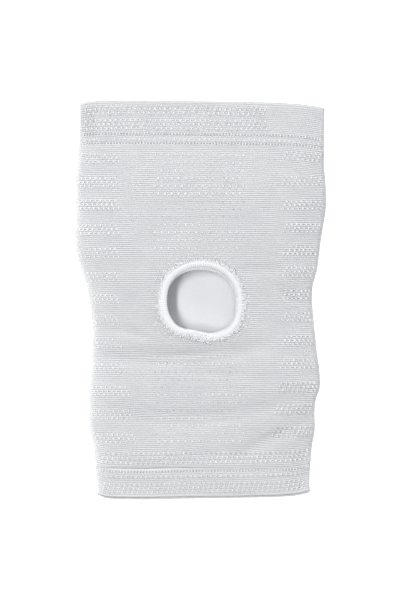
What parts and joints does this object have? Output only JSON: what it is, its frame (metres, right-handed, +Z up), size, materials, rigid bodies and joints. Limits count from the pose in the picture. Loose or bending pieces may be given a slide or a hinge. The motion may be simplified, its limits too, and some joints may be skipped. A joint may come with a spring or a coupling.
{
  "type": "volleyball knee pad",
  "caption": "Elastic knitted knee sleeve with a foam pad inside its front and a bound round hole at the back of the knee, lying flat.",
  "frame": {"origin": "on the surface below the middle of the whole object", "axes": "+X to the right seen from above, +Y to the thigh end, +Z up out of the back of the knee"},
  "size_m": [0.1517, 0.2399, 0.0283],
  "materials": {
    "knit": "fine ribbed elastic knit, matte, with raised bright stitches",
    "binding_thread": "overlocked thread with a soft sheen",
    "foam": "matte moulded foam",
    "lining_cloth": "smooth matte cloth"
  },
  "bodies": {
    "root": {"sleeve": "knit", "thigh_hem": "knit", "calf_hem": "knit", "hole_binding": "binding_thread", "pad": "foam", "pad_lining": "lining_cloth"}
  },
  "joints": []
}
